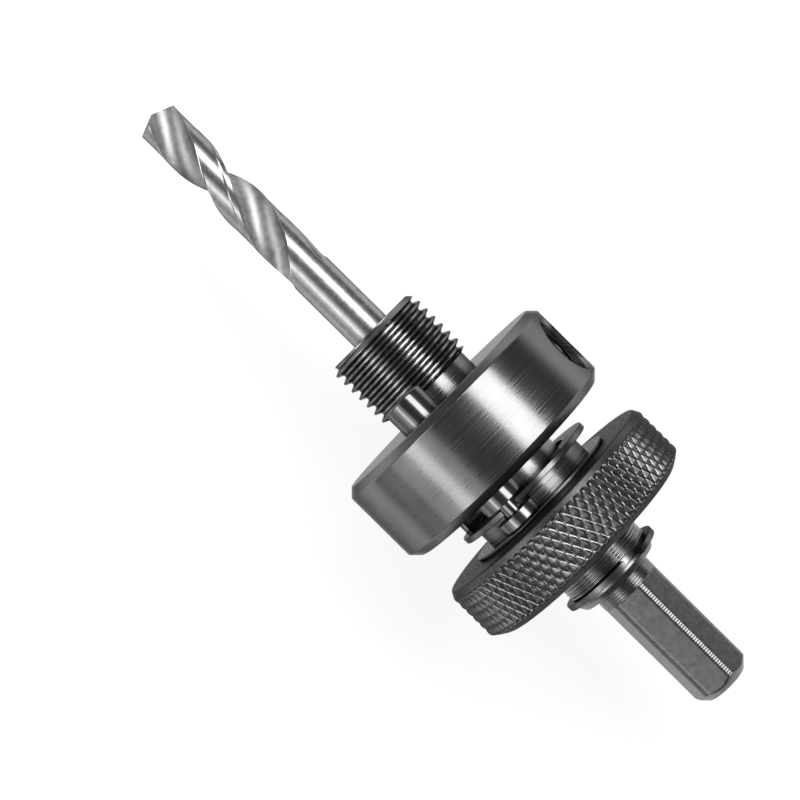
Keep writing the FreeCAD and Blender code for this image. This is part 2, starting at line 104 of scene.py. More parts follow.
COLLAR = Extent.of("drive_collar")
NUT = Extent.of("knurled_nut")
BODY = Extent.of("arbor_body")
DRILL = Extent.of("pilot_drill")
CARRIER = Extent.of("pin_carrier")
CLIP = Extent.of("pin_clip")
SNAP = Extent.of("rear_snap_ring")
PINS = {name: Extent.of(name) for name in ("drive_pin_1", "drive_pin_2")}
AXIS_HEIGHT = COLLAR.middle[1]
DRILL_RADIUS = 3.175


def around(x: np.ndarray, radius: np.ndarray, angle: np.ndarray) -> np.ndarray:
    """Place points round the axis of the arbor.

    Args:
        x: Stations along the axis.
        radius: Distances from the axis.
        angle: Angles round the axis.

    Returns:
        Points in the row frame, in metres.
    """
    x, radius, angle = np.broadcast_arrays(x, radius, np.radians(angle))
    points = [x, -radius * np.sin(angle), AXIS_HEIGHT + radius * np.cos(angle)]
    return np.stack(points, axis=-1) * MM


def along_ray(x: np.ndarray, out: np.ndarray, side: np.ndarray, angle: float) -> np.ndarray:
    """Place points by a ray that leaves the axis of the arbor.

    Args:
        x: Stations along the axis.
        out: Distances from the axis along the ray.
        side: Distances to the side of the ray where angles are smaller.
        angle: The ray's angle round the axis.

    Returns:
        Points in the row frame, in metres.
    """
    lean = math.radians(angle)
    y = -math.sin(lean) * out + math.cos(lean) * side
    z = AXIS_HEIGHT + math.cos(lean) * out + math.sin(lean) * side
    return np.stack(np.broadcast_arrays(x, y, z), axis=-1) * MM


# Outlines and meshes

# Edges that bend by more than this angle stay sharp
SHARP = 35.0
# Radius of the smallest ring of an end that is seen, and of a hidden one
POLE = 0.05
CORE = 0.5
# How far a hidden end, or a tool, runs on past what is seen
OVERLAP = 1.0
# A rounding takes up at most this share of a line. One more point, at this many times its length,
# keeps the flat beside it evenly lit
ROUNDING_SHARE = 0.4
ROUNDING_REACH = 1.25


def soften(corners: Sequence[tuple[float, float, float]], closed: bool = False,
           steps: int = 4) -> np.ndarray:
    """Round the corners of an outline of stations and radii.

    Args:
        corners: Station, radius and rounding of each corner.
        closed: Whether the last corner joins the first.
        steps: Number of short lines in each rounding.

    Returns:
        The outline's points, two numbers each.
    """
    points = []
    count = len(corners)
    for index, (x, r, rounding) in enumerate(corners):
        here = np.array([x, r])
        if rounding == 0 or (not closed and index in (0, count - 1)):
            points.append(here)
            continue
        before = np.array(corners[index - 1][:2]) - here
        after = np.array(corners[(index + 1) % count][:2]) - here
        shorter = min(np.linalg.norm(before), np.linalg.norm(after))
        reach = min(rounding, ROUNDING_SHARE * shorter)
        before = before / np.linalg.norm(before)
        after = after / np.linalg.norm(after)
        points.append(here + before * reach * ROUNDING_REACH)
        for t in np.linspace(0, 1, steps + 1):
            points.append(here + (before * (1 - t) ** 2 + after * t ** 2) * reach)
        points.append(here + after * reach * ROUNDING_REACH)
    return np.array(points)


def add_object(name: str, data: bpy.types.ID) -> bpy.types.Object:
    """Make an object, linked to the scene.

    Args:
        name: The object's name.
        data: Its mesh, lamp or camera.

    Returns:
        The object.
    """
    made = bpy.data.objects.new(name, data)
    bpy.context.scene.collection.objects.link(made)
    return made


class Shells:
    """Collects closed shells of rings and makes one mesh object of them."""

    def __init__(self, name: str) -> None:
        """Start an empty piece.

        Args:
            name: The piece's name.
        """
        self.name = name
        self.points: list[np.ndarray] = []
        self.faces: list[list[int]] = []
        self.count = 0

    def add(self, rings: np.ndarray, loop: bool = False,
            woven: np.ndarray | None = None) -> "Shells":
        """Add one shell made of rings that each close on themselves.

        Args:
            rings: Points in metres, by ring and by step round it.
            loop: Whether the last ring joins the first. Otherwise both ends get a flat cap.
            woven: For the first rings, how far each is shifted, 0 or half a step. They are joined
                by triangles whose sides follow both diagonals.

        Returns:
            These shells, so that the next call can follow.
        """
        many, steps = rings.shape[:2]
        first = self.count
        self.points.append(rings.reshape(-1, 3))
        self.count += many * steps
        ring = np.arange(many if loop else many - 1)[:, None]
        step = np.arange(steps)[None, :]
        following = (ring + 1) % many
        aside = (step + 1) % steps
        quads = np.stack(np.broadcast_arrays(
            ring * steps + step, ring * steps + aside,
            following * steps + aside, following * steps + step), axis=-1)
        if woven is not None:
            count = len(woven) - 1
            for row in range(count):
                here, here_next, there_next, there = quads[row].T
                if woven[row] == 0:
                    pair = (here, here_next, there), (there, here_next, there_next)
                else:
                    pair = (here, here_next, there_next), (there, here, there_next)
                for corners in pair:
                    self.faces.extend((np.stack(corners, axis=-1) + first).tolist())
            quads = quads[count:]
        self.faces.extend((quads.reshape(-1, 4) + first).tolist())
        if not loop:
            for end, start in ((rings[0], first), (rings[-1], first + (many - 1) * steps)):
                self.points.append(end.mean(axis=0)[None, :])
                for side in range(steps):
                    self.faces.append([start + side, start + (side + 1) % steps, self.count])
                self.count += 1
        return self

    def build(self, sharp: float = SHARP) -> bpy.types.Object:
        """Make the mesh object.

        Args:
            sharp: Edges that bend by more than this angle stay sharp.

        Returns:
            The object, linked to the scene.
        """
        mesh = bpy.data.meshes.new(self.name)
        mesh.from_pydata(np.concatenate(self.points).tolist(), [], self.faces)
        work = bmesh.new()
        work.from_mesh(mesh)
        bmesh.ops.remove_doubles(work, verts=work.verts, dist=1e-7)
        bmesh.ops.recalc_face_normals(work, faces=work.faces)
        work.to_mesh(mesh)
        work.free()
        smooth(mesh, sharp)
        return add_object(self.name, mesh)


def smooth(mesh: bpy.types.Mesh, sharp: float = SHARP) -> None:
    """Shade a mesh smoothly, apart from the edges that bend by more than an angle."""
    mesh.polygons.foreach_set("use_smooth", [True] * len(mesh.polygons))
    mesh.set_sharp_from_angle(angle=math.radians(sharp))


def full_turn(steps: int) -> np.ndarray:
    """Give the angles of even steps round a circle."""
    return np.arange(steps) * 360.0 / steps


def revolve(outline: np.ndarray, steps: int = 256) -> np.ndarray:
    """Turn an outline about the axis of the arbor.

    Args:
        outline: Stations and radii.
        steps: Number of steps round the axis.

    Returns:
        Rings of points in metres.
    """
    return around(outline[:, :1], outline[:, 1:2], full_turn(steps)[None, :])


def revolve_beside(outline: np.ndarray, middle: tuple[float, float], steps: int = 96) -> np.ndarray:
    """Turn an outline about a line that runs beside the axis of the arbor.

    Args:
        outline: Stations, and radii about the line.
        middle: Y and Z of the line.
        steps: Number of steps round the line.

    Returns:
        Rings of points in metres.
    """
    turn = np.radians(full_turn(steps))[None, :]
    x, radius = outline[:, :1], outline[:, 1:]
    y, z = middle
    return np.stack(np.broadcast_arrays(
        x, y + radius * np.cos(turn), z + radius * np.sin(turn)), axis=-1) * MM


def cut_away(piece: bpy.types.Object, tools: Sequence[bpy.types.Object]) -> None:
    """Cut tools out of a piece and remove them.

    Args:
        piece: The piece that is cut.
        tools: The closed meshes to cut out.
    """
    for tool in tools:
        cutting = piece.modifiers.new("cut", "BOOLEAN")
        cutting.operation = "DIFFERENCE"
        cutting.solver = "EXACT"
        cutting.object = tool
    bpy.context.view_layer.update()
    shape = piece.evaluated_get(bpy.context.evaluated_depsgraph_get())
    mesh = bpy.data.meshes.new_from_object(shape)
    piece.modifiers.clear()
    old = piece.data
    piece.data = mesh
    bpy.data.meshes.remove(old)
    mesh.name = piece.name
    for tool in tools:
        bpy.data.objects.remove(tool)
    smooth(mesh)


def steady_rim(piece: bpy.types.Object, radius: float, tolerance: float = 0.05,
               level: float = 0.02) -> None:
    """Give the round outside of a cut piece its true normals, so that holes leave no dents in it.

    Args:
        piece: The piece, round about the axis of the arbor.
        radius: Radius of the outside.
        tolerance: How far a face of the outside may stand from that radius.
        level: How much of its normal may point along the axis.
    """
    mesh = piece.data
    axis = Vector((0, 0, AXIS_HEIGHT * MM))
    across = Vector((0, 1, 1))
    normals = [Vector(corner.vector) for corner in mesh.corner_normals]
    for face in mesh.polygons:
        out = (face.center - axis) * across
        if abs(face.normal.x) > level or face.normal.dot(out) < 0:
            continue
        if abs(out.length - radius * MM) > tolerance * MM:
            continue
        for loop in face.loop_indices:
            place = mesh.vertices[mesh.loops[loop].vertex_index].co
            normals[loop] = ((place - axis) * across).normalized()
    mesh.normals_split_custom_set([tuple(normal) for normal in normals])


# Shader writing

class Signal:
    """A node's output that takes part in arithmetic."""

    def __init__(self, sheet: "NodeSheet", socket: bpy.types.NodeSocket) -> None:
        """Wrap a socket.

        Args:
            sheet: The node sheet that new nodes go to.
            socket: The output socket.
        """
        self.sheet = sheet
        self.socket = socket

    def math(self, operation: str, *others: "float | Signal") -> "Signal":
        """Add a Math node with this signal as its first value."""
        values = dict(enumerate((self, *others)))
        return self.sheet.node("ShaderNodeMath", {"operation": operation}, values)

    def _swapped(self, operation: str, other: float) -> "Signal":
        """Add a Math node with a number first and this signal second."""
        return self.sheet.node("ShaderNodeMath", {"operation": operation}, {0: other, 1: self})

    def __add__(self, other: "float | Signal") -> "Signal":
        """Add."""
        return self.math("ADD", other)

    def __radd__(self, other: float) -> "Signal":
        """Add, number first."""
        return self._swapped("ADD", other)

    def __sub__(self, other: "float | Signal") -> "Signal":
        """Subtract."""
        return self.math("SUBTRACT", other)

    def __rsub__(self, other: float) -> "Signal":
        """Subtract from a number."""
        return self._swapped("SUBTRACT", other)

    def __mul__(self, other: "float | Signal") -> "Signal":
        """Multiply."""
        return self.math("MULTIPLY", other)

    def __rmul__(self, other: float) -> "Signal":
        """Multiply, number first."""
        return self._swapped("MULTIPLY", other)

    def between(self, low: float, high: float) -> "Signal":
        """Give 1 where the value lies between two limits, and 0 elsewhere."""
        return self.math("GREATER_THAN", low) * self.math("LESS_THAN", high)

    def ramp(self, low: float, high: float, start: float, end: float) -> "Signal":
        """Map a stretch of values smoothly, and hold the ends.

        Args:
            low: Value that gives start.
            high: Value that gives end.
            start: Result at low and below.
            end: Result at high and above.

        Returns:
            The mapped signal.
        """
        settings = {"interpolation_type": "SMOOTHSTEP"}
        values = {"Value": self, "From Min": low, "From Max": high, "To Min": start, "To Max": end}
        return self.sheet.node("ShaderNodeMapRange", settings, values)


class NodeSheet:
    """Writes the nodes of one material or world."""

    def __init__(self, tree: bpy.types.NodeTree) -> None:
        """Clear a node tree and write to it."""
        self.tree = tree
        tree.nodes.clear()

    def node(self, kind: str, settings: dict | None = None, inputs: dict | None = None,
             output: int | str = 0) -> Signal:
        """Add one node.

        Args:
            kind: The node's type.
            settings: Its properties, set before its sockets.
            inputs: Values or signals by the name or index of the socket.
            output: Name or index of the wanted output.

        Returns:
            The output as a signal.
        """
        made = self.tree.nodes.new(kind)
        for key, setting in (settings or {}).items():
            setattr(made, key, setting)
        for key, item in (inputs or {}).items():
            if isinstance(item, Signal):
                self.tree.links.new(item.socket, made.inputs[key])
            else:
                made.inputs[key].default_value = item
        return Signal(self, made.outputs[output] if len(made.outputs) else None)

    def place(self) -> tuple[Signal, Signal, Signal]:
        """Say where the shaded point is.

        Returns:
            Its station, its radius from the axis, and its place, all in millimetres.
        """
        metres = self.node("ShaderNodeTexCoord", output="Object")
        place = self.node(
            "ShaderNodeVectorMath", {"operation": "SCALE"}, {0: metres, "Scale": 1 / MM})
        x, y, z = (
            self.node("ShaderNodeSeparateXYZ", inputs={0: place}, output=axis) for axis in "XYZ")
        z = z - AXIS_HEIGHT
        return x, (y * y + z * z).math("SQRT"), place

    def noise(self, scale: float, detail: float, vector: Signal | None = None,
              along: Signal | None = None, roughness: float = 0.5) -> Signal:
        """Add noise in space, or along one value.

        Args:
            scale: Grains in each millimetre.
            detail: Layers of finer noise.
            vector: Place in millimetres, for noise in space.
            along: A value in millimetres, for noise that changes along it alone.
            roughness: Weight of the finer layers.

        Returns:
            The noise, about 0.5 on average.
        """
        dimensions, where = ("3D", {"Vector": vector}) if along is None else ("1D", {"W": along})
        return self.node(
            "ShaderNodeTexNoise", {"noise_dimensions": dimensions},
            {**where, "Scale": scale, "Detail": detail, "Roughness": roughness})

    def grey(self, level: Signal) -> Signal:
        """Turn a value into a neutral colour."""
        return self.node("ShaderNodeCombineColor", inputs=dict.fromkeys(
            ("Red", "Green", "Blue"), level))

    def bump(self, height: Signal, depth: float) -> Signal:
        """Add a Bump node whose height is given in parts of a depth in millimetres."""
        return self.node("ShaderNodeBump", inputs={
            "Height": height, "Distance": depth * MM, "Strength": 1.0})


# Finishes

class Marks(Enum):
    """Which way the fine lines of a finish run."""

    ROUND = "round the axis, as turning leaves them"
    NONE = "no direction, as tumbling or stamping leaves them"


# Grains in each millimetre of steel, and how much of the grey they change
GRAIN_SCALE = 6.0
GRAIN_SHADE = 0.4
# Patches in each millimetre where lines are strong or weak, and how strong the weakest are
PATCH_SCALE = 0.35
PATCH_WEAKEST = 0.35
# How much painted shade darkens the bottoms of feed marks
FEED_PAINTED_SHADE = 0.18


@dataclass(frozen=True)
class Steel:
    """Bare or blackened steel, with the marks that its making left.

    Lines are the fine marks of turning, on all that stands further from the axis than marks_from.
    Feed marks are coarser and even, in a zone of radii, with painted shade in their bottoms.
    Blotches are soft stains, and grain is the finest unevenness. What lies below a radius, such as
    the bottoms of threads and holes, is the hollow. Its roughness is multiplied by a factor of its
    own, and its grey by hollow_painted_shading: painted shade below 1, painted light above 1.
    """

    name: str
    grey: float
    roughness: float
    marks: Marks = Marks.ROUND
    line_pitch: float = 0.12
    line_depth: float = 0.004
    line_contrast: float = 0.25
    line_spread: float = 1.0
    marks_from: float = 0.0
    feed_pitch: float = 0.0
    feed_depth: float = 0.0
    feed_zone: tuple[float, float] = (0.0, 0.0)
    blotches: float = 0.25
    blotch_size: float = 5.0
    grain_depth: float = 0.001
    hollow: tuple[float, float] | None = None
    hollow_span: tuple[float, float] | None = None
    hollow_painted_shading: float = 1.0
    # Factor of painted light and shade on the hollow's grey
    hollow_rough: float = 1.0
    edge: float = 0.3

    @cache
    def material(self) -> bpy.types.Material:
        """Write the material.

        Returns:
            The material, one for each finish.
        """
        made = bpy.data.materials.new(self.name)
        made.use_nodes = True
        sheet = NodeSheet(made.node_tree)
        x, radius, place = sheet.place()
        depth = self.grain_depth + self.line_depth + self.feed_depth
        cloud = sheet.noise(1 / self.blotch_size, 3.0, vector=place)
        fine = sheet.noise(GRAIN_SCALE, 3.0, vector=place, roughness=0.65)
        level = self.grey * (1 - self.blotches + 2 * self.blotches * cloud)
        level = level * (1 - GRAIN_SHADE / 2 + GRAIN_SHADE * fine)
        rough = self.roughness * (0.8 + 0.25 * cloud + 0.15 * fine)
        height = fine * (self.grain_depth / depth)
        if self.marks is Marks.ROUND:
            patchy = sheet.noise(PATCH_SCALE, 1.0, vector=place)
            patchy = patchy.ramp(0.35, 0.65, PATCH_WEAKEST, 1.0)
            if self.marks_from:
                patchy = patchy * radius.math("GREATER_THAN", self.marks_from)
            lines = sheet.noise(1 / self.line_pitch, 2.0, along=x + radius, roughness=0.7)
            level = level * (1 + self.line_contrast * patchy * (lines - 0.5))
            rough = rough * (1 + self.line_spread * patchy * (lines - 0.5))
            height = height + lines * patchy * (self.line_depth / depth)
        if self.feed_pitch:
            wave = ((x + radius) * (2 * math.pi / self.feed_pitch)).math("SINE")
            zone = radius.between(*self.feed_zone)
            height = height + wave * zone * (self.feed_depth / depth / 2)
            # Painted shade in the bottoms of the feed marks
            level = level * (1 - FEED_PAINTED_SHADE * zone * wave.ramp(-0.2, 0.5, 1.0, 0.0))
        if self.hollow is not None:
            low = radius.ramp(*self.hollow, 1.0, 0.0)
            if self.hollow_span is not None:
                low = low * x.between(*self.hollow_span)
            # Painted light and shade: the hollow's grey is darkened below 1 and lightened above 1
            level = level * (1 + low * (self.hollow_painted_shading - 1))
            rough = rough * (1 + low * (self.hollow_rough - 1))
        shader = sheet.node("ShaderNodeBsdfPrincipled", inputs={
            "Metallic": 1.0,
            "Specular Tint": (self.edge, self.edge, self.edge, 1.0),
            "Base Color": sheet.grey(level),
            "Roughness": rough,
            "Normal": sheet.bump(height, depth),
        })
        sheet.node("ShaderNodeOutputMaterial", inputs={"Surface": shader})
        return made


# Painted shade: the collar's holes, below its rim, are darkened to a quarter of its grey.
TURNED = Steel(
    "collar_turned_steel", 0.2, 0.22, line_pitch=0.26, line_depth=0.008, line_contrast=0.35,
    line_spread=1.8, hollow=(COLLAR.radius - 0.7, COLLAR.radius - 0.5), hollow_painted_shading=0.25,
    hollow_rough=1.5, hollow_span=(COLLAR.rear + 1.6, COLLAR.front - 1.6))
# The feed marks on the hex corners carry painted shade in their bottoms.
BODY_TURNED = Steel(
    "body_turned_steel", 0.2, 0.24, line_pitch=0.1, line_depth=0.003, line_contrast=0.35,
    marks_from=4.64, feed_pitch=0.4, feed_depth=0.05, feed_zone=(4.64, 4.76), blotches=0.4,
    blotch_size=0.9, edge=0.8)
# Painted light: the thread's flanks and roots are a tenth lighter than its crests.
NOSE_TURNED = Steel(
    "nose_turned_steel", 0.2, 0.22, line_pitch=0.3, line_depth=0.006, line_contrast=0.5,
    line_spread=2.4, hollow=(7.8, 7.92), hollow_painted_shading=1.1,
    hollow_span=(COLLAR.front + 2.3, BODY.front - 0.05))
# Painted sheen: the bottoms of the knurl's grooves are twice as light as the diamonds.
KNURLED = Steel(
    "diamond_knurled_steel", 0.11, 0.36, line_pitch=0.3, line_depth=0.004, line_contrast=0.4,
    line_spread=2.0, blotches=0.6, blotch_size=0.3, grain_depth=0.015,
    hollow=(NUT.radius - 0.34, NUT.radius - 0.26), hollow_painted_shading=2.0, hollow_rough=0.55,
    hollow_span=(NUT.rear + 1.0, NUT.front - 1.0))
GROUND = Steel(
    "ground_pin_steel", 0.19, 0.18, line_pitch=0.06, line_depth=0.0006, line_contrast=0.15)
# Painted light: the flutes and the point's faces are a twentieth lighter than the lands.
BRIGHT = Steel(
    "ground_drill_steel", 0.38, 0.3, line_pitch=0.07, line_depth=0.0008, line_contrast=0.15,
    blotches=0.35, blotch_size=0.8, hollow=(2.95, 3.1), hollow_painted_shading=1.05, hollow_rough=1.5)
SPRING = Steel("dark_spring_steel", 0.15, 0.24, marks=Marks.NONE, blotches=0.35, blotch_size=1.5)
CARRIER_TURNED = Steel(
    "carrier_turned_steel", 0.16, 0.24, line_pitch=0.3, line_depth=0.008, line_contrast=0.4,
    line_spread=3.0)
BLACK = Steel("black_screw_steel", 0.07, 0.36, line_pitch=0.15, line_depth=0.002, blotch_size=2.0)


def dress(piece: bpy.types.Object, finish: Steel, node: str, body: str) -> None:
    """Give a new piece its material, hide the CAD node that it stands for, and hang it on the body
    that it rides on.

    Args:
        piece: The piece.
        finish: Its finish.
        node: The CAD node that it stands for.
        body: The CAD body that it rides on.
    """
    piece.data.materials.clear()
    piece.data.materials.append(finish.material())
    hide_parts(node)
    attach(piece, body)
    LOG.info("%s: %d faces", piece.name, len(piece.data.polygons))


# Sub-assemblies

@dataclass
class ArborBody:
    """The turned body with its hex shank, rear shoulder, journal, neck and threaded nose."""

    flats: float = 8.5
    corner_trim: float = 0.2
    chamfer_length: float = 1.45
    chamfer_depth: float = 1.35
    flat_angle: float = -13.0
    flat_steps: int = 15
    corner_steps: int = 7
    hex_length: float = 19.4
    round_length: float = 2.15
    shoulder_width: float = 1.35
    shoulder_chamfer: tuple[float, float] = (0.85, 0.55)
    shoulder_steps: int = 216
    groove_width: float = 1.05
    groove_depth: float = 0.65
    journal: float = 7.05
    fine_pitch: float = 0.5
    fine_starts: int = 2
    fine_depth: float = 0.075
    fine_crest: float = 0.8
    fine_spare: float = 1.2
    fine_rings: int = 8
    neck_length: float = 2.3
    neck_radius: float = 6.9875
    nose_radius: float = 7.9375
    nose_flare: float = 0.5
    nose_chamfer: float = 0.9
    nose_steps: int = 176
    bore: float = 3.225
    bore_chamfer: float = 0.25
    pitch: float = 1.5
    thread_form: float = 0.5413
    root_clearance: float = 1.08
    crest_flat: float = 1 / 11
    root_flat: float = 1 / 9
    crest_from_face: float = 1.2
    crest_angle: float = -90.0
    ring_spacing: float = 0.05

    def hexagon(self) -> tuple[np.ndarray, np.ndarray]:
        """Lay out the steps round the shank, with a step at both ends of each flat.

        Returns:
            Angles, and the shank's radius at each of them.
        """
        corner = self.flats / 2 / math.cos(math.radians(30)) - self.corner_trim
        half = math.degrees(math.acos(self.flats / 2 / corner))
        on_flat = np.linspace(-half, half, self.flat_steps)
        on_corner = np.linspace(half, 60 - half, self.corner_steps)[1:-1]
        angles = np.concatenate([
            self.flat_angle + 60 * side + np.concatenate([on_flat, on_corner])
            for side in range(6)])
        radii = np.tile(np.concatenate([
            self.flats / 2 / np.cos(np.radians(on_flat)), np.full(len(on_corner), corner)]), 6)
        return angles, radii

    def shank(self) -> np.ndarray:
        """Make the rings of the hex shank and of the short round in front of it.

        Returns:
            The rings. A few of them, close together, round each edge.
        """
        angle, reach = self.hexagon()
        corner = reach.max()
        end = corner - self.chamfer_depth
        rear = BODY.rear
        bevel = rear + (reach - end) * (self.chamfer_length / self.chamfer_depth)
        hex_front = rear + self.hex_length
        round_front = hex_front + self.round_length
        plan = [
            (rear, POLE), (rear, end - 0.5), (rear, end - 0.12),
            (rear + 0.03, end - 0.03), (rear + 0.1, end + 0.1),
            (bevel - 0.14, reach - 0.13), (bevel - 0.04, reach - 0.04),
            (bevel + 0.08, reach), (bevel + 0.25, reach),
            (hex_front - 0.35, reach), (hex_front - 0.12, reach),
            (hex_front - 0.03, reach + 2 / 15 * (corner - reach)), (hex_front, corner - 0.04),
            (hex_front + 0.04, corner), (hex_front + 0.15, corner), (round_front + 0.2, corner),
        ]
        return np.stack([around(x, r, angle) for x, r in plan])

    def shoulder(self) -> np.ndarray:
        """Make the rings of the rear shoulder, the snap ring's groove and the journal.

        Returns:
            The rings.
        """
        length, depth = self.shoulder_chamfer
        rear = BODY.rear + self.hex_length + self.round_length
        groove_rear = rear + self.shoulder_width
        groove_front = groove_rear + self.groove_width
        bottom = self.journal - self.groove_depth
        root = self.journal - self.fine_depth
        end = COLLAR.rear + OVERLAP
        plain = NUT.front + self.fine_spare
        angle = full_turn(self.shoulder_steps)[None, :]
        threaded = np.arange(groove_front + 0.08, plain, self.fine_pitch / self.fine_rings)[:, None]
        return np.concatenate([
            revolve(soften([
                (rear, CORE, 0), (rear, self.journal - depth, 0.1),
                (rear + length, self.journal, 0.15), (groove_rear, self.journal, 0.06),
                (groove_rear, bottom, 0), (groove_front, bottom, 0), (groove_front, root, 0)]),
                self.shoulder_steps),
            around(threaded, self.fine_thread(threaded, angle), angle),
            revolve(np.array([
                (plain, root), (plain + 0.2, self.journal), (plain + 0.5, self.journal),
                (end, self.journal), (end, CORE)]), self.shoulder_steps)])

    def fine_thread(self, x: np.ndarray, angle: np.ndarray) -> np.ndarray:
        """Give the journal's radius, with the rounded ridges of its fine thread.

        Args:
            x: Stations.
            angle: Angles round the axis.

        Returns:
            Radii.
        """
        turn = x / self.fine_pitch - self.fine_starts * angle / 360
        wave = 0.5 + 0.5 * np.cos(2 * math.pi * turn)
        return self.journal - self.fine_depth * (1 - wave ** self.fine_crest)

    def thread(self, x: np.ndarray, angle: np.ndarray) -> np.ndarray:
        """Give the nose's radius as a right-hand thread with flat crests and roots.

        Args:
            x: Stations.
            angle: Angles round the axis.

        Returns:
            Radii, limited by the flare behind the thread and the chamfer in front of it.
        """
        depth = self.thread_form * self.pitch * self.root_clearance
        turn = (x - BODY.front + self.crest_from_face) / self.pitch
        turn = turn - (angle - self.crest_angle) / 360
        away = np.abs(turn - np.round(turn))
        flank = (away - self.crest_flat) / (0.5 - self.crest_flat - self.root_flat)
        radius = self.nose_radius - depth * np.clip(flank, 0, 1)
        start = COLLAR.front + self.neck_length
        rise = (self.nose_radius - self.neck_radius) / self.nose_flare
        flare = self.neck_radius + (x - start) * rise
        chamfer = self.nose_radius - (x - (BODY.front - self.nose_chamfer))
        return np.minimum(radius, np.minimum(flare, chamfer))

    def nose(self) -> np.ndarray:
        """Make the rings of the neck, the threaded nose and its bore.

        Returns:
            The rings.
        """
        start = COLLAR.front + self.neck_length
        hidden = COLLAR.front - OVERLAP
        front = BODY.front
        angle = full_turn(self.nose_steps)[None, :]
        neck = np.array([
            (hidden, self.neck_radius), (start - 0.1, self.neck_radius), (start, self.neck_radius)])
        threaded = np.arange(start + 0.05, front - 0.02, self.ring_spacing)[:, None]
        face = soften([
            (front, self.nose_radius - self.nose_chamfer - 0.05, 0.05),
            (front, self.bore + self.bore_chamfer, 0.05),
            (front - self.bore_chamfer, self.bore, 0.05),
            (DRILL.rear, self.bore, 0), (hidden, self.bore, 0)])
        return np.concatenate([
            revolve(neck, self.nose_steps),
            around(threaded, self.thread(threaded, angle), angle),
            revolve(face, self.nose_steps)])

    def make(self) -> None:
        """Build the body and dress it."""
        rear = Shells("arbor_body_rear").add(self.shank()).add(self.shoulder()).build(28.0)
        dress(rear, BODY_TURNED, "arbor_body", "spindle")
        front = Shells("arbor_body_nose").add(self.nose(), loop=True).build(50.0)
        dress(front, NOSE_TURNED, "arbor_body", "spindle")


